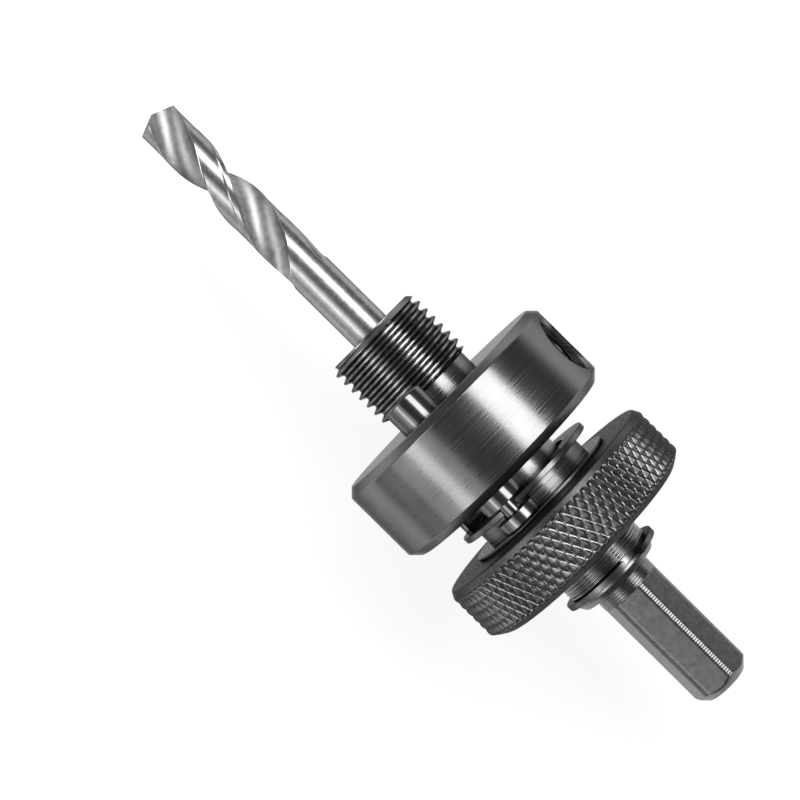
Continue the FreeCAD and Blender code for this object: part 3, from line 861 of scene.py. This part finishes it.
@dataclass
class DriveCollar:
    """The collar with two pin holes and the clamping screw's hole, and the screw in it."""

    bore: float = 7.05
    front_chamfer: float = 1.2
    rear_chamfer: float = 1.3
    pin_hole: float = 3.225
    pin_hole_chamfer: float = 0.2
    screw_angle: float = 75.0
    screw_radius: float = 3.7
    screw_steps: int = 96
    mouth_chamfer: float = 1.4
    screw_recess: float = 5.5
    screw_chamfer: float = 0.8
    thread_pitch: float = 1.0
    thread_depth: float = 0.45
    ring_spacing: float = 0.1
    key_flats: float = 4.0
    key_depth: float = 5.0
    key_chamfer: float = 0.25

    def radial(self, distance: float, radius: float | np.ndarray) -> np.ndarray:
        """Place a ring of points round the screw's own axis, which crosses the collar.

        Args:
            distance: Distance from the axis of the arbor along the screw.
            radius: Distances from the screw's axis.

        Returns:
            Points in the row frame, in metres.
        """
        turn = np.radians(full_turn(self.screw_steps))
        x = (COLLAR.rear + COLLAR.front) / 2 + radius * np.cos(turn)
        return along_ray(x, distance, radius * np.sin(turn), self.screw_angle)

    def collar(self) -> bpy.types.Object:
        """Turn the collar and drill it.

        Returns:
            The collar.
        """
        rim = COLLAR.radius
        rear, front = COLLAR.rear, COLLAR.front
        outline = soften([
            (rear, self.bore, 0.1), (rear, rim - self.rear_chamfer, 0.12),
            (rear + self.rear_chamfer, rim, 0.16), (front - self.front_chamfer, rim, 0.2),
            (front, rim - self.front_chamfer, 0.16), (front, self.bore, 0.1)], closed=True)
        piece = Shells("drive_collar").add(revolve(outline), loop=True).build()
        cut_away(piece, [*(self.pin_drill(name) for name in PINS), self.screw_drill()])
        steady_rim(piece, rim)
        return piece

    def pin_drill(self, name: str) -> bpy.types.Object:
        """Make the tool that cuts one pin's hole, with a light chamfer at both faces.

        Args:
            name: The pin's node.

        Returns:
            The tool.
        """
        past = self.pin_hole + self.pin_hole_chamfer + OVERLAP
        outline = np.array([
            (COLLAR.rear - OVERLAP, past), (COLLAR.rear + self.pin_hole_chamfer, self.pin_hole),
            (COLLAR.front - self.pin_hole_chamfer, self.pin_hole), (COLLAR.front + OVERLAP, past)])
        return Shells(f"{name}_drill").add(revolve_beside(outline, PINS[name].middle)).build()

    def screw_drill(self) -> bpy.types.Object:
        """Make the tool that cuts the screw's threaded hole and its countersink.

        Returns:
            The tool.
        """
        rim = COLLAR.radius
        mouth = rim - self.mouth_chamfer
        past = 0.6
        threaded = np.arange(self.bore - OVERLAP, mouth - self.ring_spacing, self.ring_spacing)
        rings = [
            self.radial(threaded[0] - 0.01, self.screw_radius - 0.4),
            *(self.radial(distance, self.screw_thread(distance)) for distance in threaded),
            self.radial(mouth, self.screw_radius + 0.05),
            self.radial(rim + past, self.screw_radius + self.mouth_chamfer + past)]
        return Shells("screw_drill").add(np.stack(rings)).build()

    def screw_thread(self, distance: float) -> np.ndarray:
        """Cut the screw's thread.

        Args:
            distance: Distance from the axis of the arbor.

        Returns:
            Radii round the screw there.
        """
        phase = distance / self.thread_pitch - full_turn(self.screw_steps) / 360
        away = np.abs(phase - np.round(phase)) * 2
        return self.screw_radius - self.thread_depth * np.clip(away, 0.1, 0.9)

    def screw(self) -> bpy.types.Object:
        """Turn the headless screw and sink its hex socket.

        Returns:
            The screw.
        """
        flat = self.key_flats / 2 / np.cos(np.radians((full_turn(self.screw_steps) + 30) % 60 - 30))
        key_corner = self.key_flats / 2 / math.cos(math.radians(30))
        top = COLLAR.radius - self.screw_recess
        low = DRILL_RADIUS
        floor = top - self.key_depth
        rings = [
            self.radial(floor, 0.05 * flat), self.radial(floor, 0.95 * flat),
            self.radial(floor + 0.05, flat), self.radial(top - self.key_chamfer, flat),
            self.radial(top, np.maximum(flat, key_corner)),
            self.radial(top, self.screw_radius - self.screw_chamfer)]
        for distance in np.arange(top - 0.05, low + 0.1, -self.ring_spacing):
            from_end = min(top - distance, distance - low)
            edge = self.screw_radius - max(self.screw_chamfer - from_end, 0)
            rings.append(self.radial(distance, np.minimum(self.screw_thread(distance), edge)))
        rings.append(self.radial(low, self.screw_radius - self.screw_chamfer - 0.1))
        return Shells("pilot_set_screw").add(np.stack(rings)).build()

    def make(self) -> None:
        """Build collar and screw and dress them."""
        dress(self.collar(), TURNED, "drive_collar", "spindle")
        dress(self.screw(), BLACK, "pilot_set_screw", "spindle")


@dataclass
class PinCarriage:
    """The drive pins, the clip round their necks, and the carrier behind them."""

    neck: float = 1.3
    neck_rear: float = 2.0
    neck_front: float = 3.9
    chamfer: float = 0.3
    pin_steps: int = 128
    recess_clearance: float = 0.05
    recess_floor: float = 0.002
    clip_thickness: float = 0.9
    clip_radius: float = 11.67
    clip_bore: float = 9.0
    notch_clearance: float = 0.05
    notch_mouth: float = 1.15
    notch_reach: float = 4.0
    tab_angle: float = -126.0
    tab_width: float = 6.2
    tab_rise: float = 1.7
    tab_rounding: float = 0.14
    sleeve_bore: float = 7.1
    sleeve_radius: float = 9.4
    flange_radius: float = 12.25
    flange_width: float = 0.5
    hub_radius: float = 9.5
    hub_width: float = 2.5
    spigot_bore: float = 8.1
    spigot_depth: float = 0.7
    ring_inset: float = 1.6
    ring_width: float = 1.0
    ring_bottom: float = 8.7

    def pin(self, name: str) -> bpy.types.Object:
        """Turn one drive pin.

        Args:
            name: The pin's node.

        Returns:
            The pin.
        """
        radius, rear, front = PINS[name].radius, PINS[name].rear, PINS[name].front
        neck_rear, neck_front = rear + self.neck_rear, rear + self.neck_front
        outline = soften([
            (rear, POLE, 0), (rear, radius - self.chamfer, 0.15),
            (rear + self.chamfer, radius, 0.15), (neck_rear, radius, 0.12),
            (neck_rear, self.neck, 0.15), (neck_front, self.neck, 0.15), (neck_front, radius, 0.12),
            (front - self.chamfer, radius, 0.3), (front, radius - self.chamfer, 0.25),
            (front, POLE, 0)])
        return Shells(name).add(
            revolve_beside(outline, PINS[name].middle, self.pin_steps)).build()

    def clip(self) -> bpy.types.Object:
        """Stamp the clip: a flat ring with two open notches, and a tab bent up at its rim.

        Returns:
            The clip.
        """
        rear = CLIP.rear
        front = rear + self.clip_thickness
        outline = soften([
            (rear, self.clip_bore, 0.08), (rear, self.clip_radius, 0.14),
            (front, self.clip_radius, 0.14), (front, self.clip_bore, 0.08)], closed=True)
        piece = Shells("pin_clip").add(revolve(outline), loop=True).build()
        cut_away(piece, [self.notch_tool(name) for name in PINS])
        self.add_tab(piece, front)
        return piece

    def notch_tool(self, name: str) -> bpy.types.Object:
        """Make the tool for one notch of the clip: round at its bottom and open outwards.

        Args:
            name: The node of the pin that the notch holds.

        Returns:
            The tool.
        """
        y, z = PINS[name].middle
        angle = math.degrees(math.atan2(-y, z - AXIS_HEIGHT))
        offset = math.hypot(y, z - AXIS_HEIGHT)
        grip = self.neck + self.notch_clearance
        mouth = grip * self.notch_mouth
        past = offset + self.notch_reach
        turn = np.radians(np.linspace(90, 270, 25))
        out = np.concatenate([offset + grip * np.cos(turn), [past, past]])
        side = np.concatenate([grip * np.sin(turn), [-mouth, mouth]])
        rings = [
            along_ray(x, out, side, angle) for x in (CLIP.rear - OVERLAP, CLIP.rear + 2 * OVERLAP)]
        return Shells(f"{name}_notch").add(np.stack(rings)).build()

    def add_tab(self, piece: bpy.types.Object, front: float) -> None:
        """Bend the tab up from the clip's rim.

        Args:
            piece: The clip.
            front: Station of the clip's front face.
        """
        half = self.tab_width / 2
        outer = math.sqrt(self.clip_radius ** 2 - half ** 2)
        inner = outer - self.clip_thickness
        work = bmesh.new()
        corners = [
            work.verts.new(along_ray(x, out, side, self.tab_angle).tolist())
            for x in (CLIP.rear, front + self.tab_rise)
            for out, side in ((inner, -half), (outer, -half), (outer, half), (inner, half))]
        ends = [(0, 1, 2, 3), (4, 5, 6, 7)]
        sides = [(side, (side + 1) % 4, (side + 1) % 4 + 4, side + 4) for side in range(4)]
        for face in ends + sides:
            work.faces.new([corners[index] for index in face])
        bmesh.ops.bevel(work, geom=work.edges[:], offset=self.tab_rounding * MM, segments=3,
                        affect="EDGES", profile=0.5)
        bmesh.ops.recalc_face_normals(work, faces=work.faces)
        work.from_mesh(piece.data)
        work.to_mesh(piece.data)
        work.free()
        smooth(piece.data)

    def carrier(self) -> bpy.types.Object:
        """Turn the carrier and cut the recesses for the pins' heads.

        Returns:
            The carrier.
        """
        rear, front = CARRIER.rear, CARRIER.front
        outside = self.sleeve_radius
        hub_front = front - self.clip_thickness
        hub_rear = hub_front - self.hub_width
        flange_rear = hub_rear - self.flange_width
        ring_rear = rear + self.ring_inset
        ring_front = ring_rear + self.ring_width
        spigot = front - self.spigot_depth
        outline = soften([
            (rear, self.sleeve_bore, 0.1), (rear, outside, 0.1), (ring_rear, outside, 0),
            (ring_rear, self.ring_bottom, 0), (ring_front, self.ring_bottom, 0),
            (ring_front, outside, 0), (flange_rear, outside, 0),
            (flange_rear, self.flange_radius, 0.12), (hub_rear, self.flange_radius, 0.12),
            (hub_rear, self.hub_radius, 0.1), (hub_front, self.hub_radius, 0.1),
            (hub_front, self.clip_bore, 0), (front, self.clip_bore, 0.08),
            (front, self.spigot_bore, 0.08), (spigot, self.spigot_bore, 0),
            (spigot, self.sleeve_bore, 0.05)], closed=True)
        piece = Shells("pin_carrier").add(revolve(outline), loop=True).build()
        cut_away(piece, [
            self.recess_tool(name, hub_rear + self.recess_floor, front + OVERLAP)
            for name in PINS])
        return piece

    def recess_tool(self, name: str, rear: float, front: float) -> bpy.types.Object:
        """Make the tool for the recess that holds one pin's head.

        Args:
            name: The pin's node.
            rear: Station of the recess's bottom.
            front: Station where the tool ends.

        Returns:
            The tool.
        """
        reach = PINS[name].radius + self.recess_clearance
        outline = np.array([(rear, reach), (front, reach)])
        return Shells(f"{name}_recess").add(revolve_beside(outline, PINS[name].middle)).build()

    def make(self) -> None:
        """Build the carriage and dress it."""
        for name in PINS:
            dress(self.pin(name), GROUND, name, "pin_carriage")
        dress(self.clip(), SPRING, "pin_clip", "pin_carriage")
        dress(self.carrier(), CARRIER_TURNED, "pin_carrier", "pin_carriage")
        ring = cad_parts["carrier_ring"]
        ring.data.materials.clear()
        ring.data.materials.append(SPRING.material())


@dataclass
class KnurledNut:
    """The nut that drives the carriage, with its diamond knurl."""

    bore: float = 7.1
    front_length: float = 1.1
    front_depth: float = 0.6
    rear_length: float = 1.25
    rear_depth: float = 1.9
    pocket_depth: float = 6.0
    pocket: float = 9.45
    ring_inset: float = 3.9
    ring_width: float = 1.1
    ring_bottom: float = 10.2
    starts: int = 82
    lean: float = 28.7
    depth: float = 0.38
    flat_top: float = 0.2
    round_bottom: float = 0.45
    rounded_hand: int = 1
    rounded_side: int = -1
    fade: float = 0.35
    rear_fade: float = 0.5
    front_fade: float = 0.15
    rear_band: float = 0.6
    front_band: float = 0.3
    band_gap: float = 0.1
    samples: int = 11

    @property
    def pitch(self) -> float:
        """Distance round the nut from groove to groove."""
        return 2 * math.pi * NUT.radius / self.starts

    @property
    def rear_edge(self) -> float:
        """Station where the rear chamfer meets the rim."""
        return NUT.rear + self.rear_length

    @property
    def front_edge(self) -> float:
        """Station where the front chamfer meets the rim."""
        return NUT.front - self.front_length

    def outside(self, x: float | np.ndarray) -> float | np.ndarray:
        """Give the radius of the nut before it is knurled.

        Args:
            x: Stations.

        Returns:
            Radii, less on the two chamfers.
        """
        behind = np.clip((self.rear_edge - x) / self.rear_length, 0, 1) * self.rear_depth
        before = np.clip((x - self.front_edge) / self.front_length, 0, 1) * self.front_depth
        return NUT.radius - np.maximum(behind, before)

    def knurl(self, x: np.ndarray, angle: np.ndarray) -> np.ndarray:
        """Give how deep the two crossing sets of grooves cut.

        Args:
            x: Stations.
            angle: Angles round the axis.

        Returns:
            Depths below the outside.
        """
        along = (x - NUT.front) * math.tan(math.radians(self.lean)) / self.pitch
        turns = angle / 360 * self.starts
        bend = self.round_bottom
        depth = 0
        for hand in (1, -1):
            phase = turns + hand * along
            side = phase - np.round(phase)
            height = np.clip(np.abs(side) * 2 / (1 - self.flat_top), 0, 1)
            curved = np.where(height < bend, height ** 2 / (2 * bend), height - bend / 2)
            rounded = (hand == self.rounded_hand) & (side * self.rounded_side > 0)
            height = np.where(rounded, curved / (1 - bend / 2), height)
            depth = np.maximum(depth, self.depth * (1 - height))
        rise = np.clip((x - (self.rear_edge - self.rear_fade)) / self.fade, 0, 1)
        fall = np.clip((self.front_edge + self.front_fade - x) / self.fade, 0, 1)
        return depth * np.minimum(rise, fall)

    def inside(self) -> np.ndarray:
        """Lay out the front face, the pocket with its ring's groove, the bore and the rear face.

        Returns:
            The outline's points, two numbers each.
        """
        rear, front = NUT.rear, NUT.front
        first = self.front_edge + self.front_band + self.band_gap
        last = self.rear_edge - self.rear_band - self.band_gap
        pocket_end = front - self.pocket_depth
        ring_rear = front - self.ring_inset
        ring_front = ring_rear + self.ring_width
        return soften([
            (first, self.outside(first), 0),
            (front, self.outside(front), 0.3), (front, self.pocket, 0.1),
            (ring_front, self.pocket, 0), (ring_front, self.ring_bottom, 0),
            (ring_rear, self.ring_bottom, 0), (ring_rear, self.pocket, 0),
            (pocket_end, self.pocket, 0), (pocket_end, self.bore, 0), (rear, self.bore, 0.1),
            (rear, self.outside(rear), 0.2), (last, self.outside(last), 0)], steps=2)

    def make(self) -> None:
        """Build the nut and dress it. Each ring of the knurl is half a step off the one before."""
        steps = self.starts * self.samples
        spacing = self.pitch / math.tan(math.radians(self.lean)) / self.samples / 2
        first = round((NUT.front - self.rear_edge + self.rear_band) / spacing)
        last = round((NUT.front - self.front_edge - self.front_band) / spacing)
        count = np.arange(first, last - 1, -1)
        band = NUT.front - count * spacing
        every_other = count % 2 / 2
        angle = (np.arange(steps)[None, :] + every_other[:, None]) * 360.0 / steps
        carved = self.outside(band)[:, None] - self.knurl(band[:, None], angle)
        rings = np.concatenate([
            around(band[:, None], carved, angle), revolve(self.inside(), steps)])
        nut = Shells("knurled_nut").add(rings, loop=True, woven=every_other).build(40.0)
        dress(nut, KNURLED, "knurled_nut", "nut")


@dataclass
class SnapRing:
    """The open ring in the groove behind the nut."""

    inner: float = 6.4
    outer: float = 8.15
    gap_angle: float = 26.4
    gap: float = 24.4
    droop: float = 0.55
    droop_angle: float = 110.0
    droop_bend: float = 1.5
    steps: int = 160

    def make(self) -> None:
        """Bend the ring, with one end out of true, and dress it."""
        corners = soften([
            (SNAP.rear, self.inner, 0.06), (SNAP.front, self.inner, 0.06),
            (SNAP.front, self.outer, 0.12), (SNAP.rear, self.outer, 0.12)], closed=True)
        turn = np.linspace(0, 360 - self.gap, self.steps)[:, None]
        share = np.clip(1 - turn / self.droop_angle, 0, 1) ** self.droop_bend
        rings = around(
            corners[:, 0] - self.droop * share, corners[:, 1], self.gap_angle + self.gap / 2 + turn)
        ring = Shells("rear_snap_ring").add(rings).build()
        dress(ring, SPRING, "rear_snap_ring", "spindle")


@dataclass
class PilotDrill:
    """The twist drill in the nose, with its two flutes and its point."""

    end_chamfer: float = 0.5
    plain_stretch: float = 8.0
    spacing: float = 0.2
    runout_spacing: float = 0.15
    point_angle: float = 135.0
    point_shares: tuple[float, ...] = (0.9, 0.75, 0.6, 0.45, 0.3, 0.15, 0.03)
    web: float = 0.65
    tool: float = 3.2
    pitch: float = 35.6
    flute_length: float = 32.3
    flute_steps: int = 29
    runout: float = 6.0
    runout_slope: float = 24.0
    waist_from_tip: float = 13.2
    land_steps: int = 41
    full_land: float = 25.0
    margin: float = 14.0
    margin_fade: float = 3.0
    heel_fade: float = 2.0
    relief: float = 0.07

    @property
    def deep(self) -> float:
        """Distance of the grinding tool's centre from the axis at a flute's full depth."""
        return self.web + self.tool

    @property
    def flute_rear(self) -> float:
        """Station where the flutes begin."""
        return DRILL.front - self.flute_length

    def section(self, centre: float) -> tuple[np.ndarray, np.ndarray]:
        """Lay out the drill's cross-section, its first flute pointing straight up.

        Args:
            centre: Distance of the grinding tool's centre from the axis.

        Returns:
            Two arrays, out along the first flute and across it.
        """
        radius = DRILL_RADIUS
        reach = (radius ** 2 + centre ** 2 - self.tool ** 2) / (2 * radius * centre)
        half = math.acos(min(reach, 1.0))
        start = math.atan2(radius * math.sin(half), radius * math.cos(half) - centre)
        bend = np.linspace(2 * math.pi - start, start, self.flute_steps)
        turn = np.linspace(half, math.pi - half, self.land_steps)[1:-1]
        to_margin = np.degrees(math.pi - half - turn)
        to_heel = np.degrees(turn - half)
        back = np.clip((to_margin - self.margin) / self.margin_fade, 0, 1)
        back = back * np.clip(to_heel / self.heel_fade, 0, 1)
        full = min(1.0, half / math.radians(self.full_land))
        land = radius - self.relief * back * full
        out = np.concatenate([centre + self.tool * np.cos(bend), land * np.cos(turn)])
        across = np.concatenate([self.tool * np.sin(bend), land * np.sin(turn)])
        return np.concatenate([out, -out]), np.concatenate([across, -across])

    def flute_angle(self, stations: np.ndarray) -> np.ndarray:
        """Give the first flute's angle at each station."""
        return 90 + 360 * (stations - DRILL.front + self.waist_from_tip) / self.pitch

    def end_ring(self) -> np.ndarray:
        """Make the plain ring of the hidden end, with as many steps as the cross-section.

        Returns:
            The ring's points in metres.
        """
        out, across = self.section(self.deep)
        turn = np.degrees(np.arctan2(across, out))
        radius = DRILL_RADIUS - self.end_chamfer
        return around(DRILL.rear, radius, turn + self.flute_angle(self.flute_rear))

    def ring(self, station: float, centre: float, share: float = 1.0) -> np.ndarray:
        """Make one ring of the drill, kept behind the cone of its point.

        Args:
            station: Station of the ring.
            centre: Distance of the grinding tool's centre from the axis.
            share: Size of the ring as a share of the section, for the point's faces.

        Returns:
            The ring's points in metres.
        """
        out, across = self.section(centre)
        out, across = out * share, across * share
        radius = np.hypot(out, across)
        cone = DRILL.front - radius * (1 / math.tan(math.radians(self.point_angle / 2)))
        x = np.minimum(station, cone)
        turn = np.degrees(np.arctan2(across, out))
        return around(x, radius, turn + self.flute_angle(np.maximum(x, self.flute_rear)))

    def make(self) -> None:
        """Grind the drill and dress it."""
        tip, rear = DRILL.front, self.flute_rear
        full_depth = rear + self.runout
        slope = math.tan(math.radians(self.runout_slope))
        shallow = DRILL_RADIUS - self.web - 1e-4
        stations = np.concatenate([
            [DRILL.rear + self.end_chamfer, rear - self.plain_stretch, rear - self.spacing],
            np.arange(rear, full_depth, self.runout_spacing),
            np.arange(full_depth, tip - self.spacing, self.spacing)])
        rings = [self.end_ring()]
        for station in stations:
            lift = min(max(0.0, full_depth - station) * slope, shallow)
            rings.append(self.ring(station, self.deep + lift))
        for share in self.point_shares:
            rings.append(self.ring(tip, self.deep, share))
        drill = Shells("pilot_drill").add(np.stack(rings)).build(32.0)
        dress(drill, BRIGHT, "pilot_drill", "spindle")


# Studio

def stand(thing: bpy.types.Object, place: Vector, right: Vector, up: Vector, back: Vector) -> None:
    """Place a lamp or a camera.

    Args:
        thing: The object, which looks along its own -Z.
        place: Where it stands, in metres.
        right: Where its X points.
        up: Where its Y points.
        back: Where its Z points.
    """
    turned = Matrix((right, up, back)).transposed().to_4x4()
    thing.matrix_world = Matrix.Translation(place) @ turned


@dataclass(frozen=True)
class Lamp:
    """A long soft lamp that hangs along the arbor.

    Its angle is from straight up, its width is an angle seen from the arbor, its glow is how bright
    its face is, where 1 is white, and near is its distance as a share of the others'.
    """

    name: str
    angle: float
    width: float
    glow: float
    near: float = 1.0


LAMPS = (
    Lamp("left_lamp", -48.5, 49, 0.9),
    Lamp("left_core", -45.0, 13, 2.3, 0.95),
    Lamp("side_lamp", -87, 22, 0.45),
    Lamp("right_lamp", 34.5, 26.5, 5.2),
)


@dataclass
class Studio:
    """Pale floor, long soft lamps, a dim room, and the camera over the arbor.

    Floor and lamps are measured in metres, the camera's place in millimetres.
    """

    floor_size: float = 6.0
    floor_grey: float = 0.2
    floor_lift: float = 0.84
    pool: tuple[float, float] = (0.08, 0.24)
    pool_edge: float = 0.13
    room: float = 0.125
    lamp_distance: float = 0.6
    lamp_length: float = 1.14
    lamp_shift: float = 0.225
    lens: float = 111.6
    sensor: float = 36.0
    height: float = 350.0
    foot: float = BODY.front
    tilt: float = 1.6
    side_tilt: float = 0.646
    slope: float = 44.65

    def floor(self) -> None:
        """Lay the floor, which glows in a pool round the arbor for all but diffuse rays."""
        half = self.floor_size / 2
        mesh = bpy.data.meshes.new("floor")
        corners = [(-half, -half, 0), (half, -half, 0), (half, half, 0), (-half, half, 0)]
        mesh.from_pydata(corners, [], [(0, 1, 2, 3)])
        floor = add_object("floor", mesh)
        made = bpy.data.materials.new("pale_floor")
        made.use_nodes = True
        sheet = NodeSheet(made.node_tree)
        camera, glossy, through = (
            sheet.node("ShaderNodeLightPath", output=f"Is {ray} Ray")
            for ray in ("Camera", "Glossy", "Transmission"))
        seen = camera.math("MAXIMUM", glossy).math("MAXIMUM", through)
        paint = sheet.node("ShaderNodeBsdfDiffuse", inputs={"Color": (self.floor_grey,) * 3 + (1,)})
        spot = sheet.node("ShaderNodeTexCoord", output="Object")
        reach = sheet.node("ShaderNodeVectorMath", {"operation": "LENGTH"}, {0: spot}, "Value")
        pool = reach.ramp(*self.pool, self.floor_lift, self.pool_edge * self.floor_lift)
        lift = sheet.node("ShaderNodeEmission", inputs={"Strength": seen * pool})
        both = sheet.node("ShaderNodeAddShader", inputs={0: paint, 1: lift})
        sheet.node("ShaderNodeOutputMaterial", inputs={"Surface": both})
        mesh.materials.append(made)

    def hang(self, lamp: Lamp) -> None:
        """Hang one long lamp along the arbor.

        Args:
            lamp: What the lamp is like.
        """
        distance = self.lamp_distance * lamp.near
        light = bpy.data.lights.new(lamp.name, "AREA")
        light.shape = "RECTANGLE"
        light.size = self.lamp_length
        light.size_y = 2 * distance * math.tan(math.radians(lamp.width / 2))
        light.energy = lamp.glow * math.pi * light.size * light.size_y
        turn = math.radians(lamp.angle)
        back = Vector((0, -math.sin(turn), math.cos(turn)))
        along = Vector((1, 0, 0))
        place = back * distance + along * self.lamp_shift
        stand(add_object(lamp.name, light), place, along, back.cross(along), back)

    def room_light(self) -> None:
        """Fill the room with a dim even light."""
        world = bpy.data.worlds.new("room")
        world.use_nodes = True
        sheet = NodeSheet(world.node_tree)
        glow = sheet.node(
            "ShaderNodeBackground", inputs={"Color": (1, 1, 1, 1), "Strength": self.room})
        sheet.node("ShaderNodeOutputWorld", inputs={"Surface": glow})
        bpy.context.scene.world = world

    def camera(self) -> None:
        """Hang the camera over the arbor, so that the drill points to the upper left."""
        data = bpy.data.cameras.new("camera")
        data.lens = self.lens
        data.sensor_width = self.sensor
        place = Vector((self.foot, 0, AXIS_HEIGHT + self.height)) * MM
        aim = Vector((
            self.foot - self.height * math.tan(math.radians(self.tilt)),
            self.height * math.tan(math.radians(self.side_tilt)), AXIS_HEIGHT)) * MM
        forward = (aim - place).normalized()
        slope = math.radians(self.slope)
        right = forward.cross(Vector((math.sin(slope), -math.cos(slope), 0))).normalized()
        camera = add_object("camera", data)
        stand(camera, place, right, right.cross(forward), -forward)
        bpy.context.scene.camera = camera

    def make(self) -> None:
        """Set up floor, lamps, room and camera."""
        self.floor()
        for lamp in LAMPS:
            self.hang(lamp)
        self.room_light()
        self.camera()
        bpy.context.scene.view_settings.view_transform = "Standard"


def main() -> None:
    """Build every sub-assembly in order, then the studio."""
    logging.basicConfig(level=logging.INFO, format="%(message)s")
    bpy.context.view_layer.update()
    for part in (ArborBody(), DriveCollar(), PinCarriage(), KnurledNut(), SnapRing(), PilotDrill()):
        part.make()
        LOG.info("made %s", type(part).__name__)
    Studio().make()


if __name__ == "__main__":
    main()
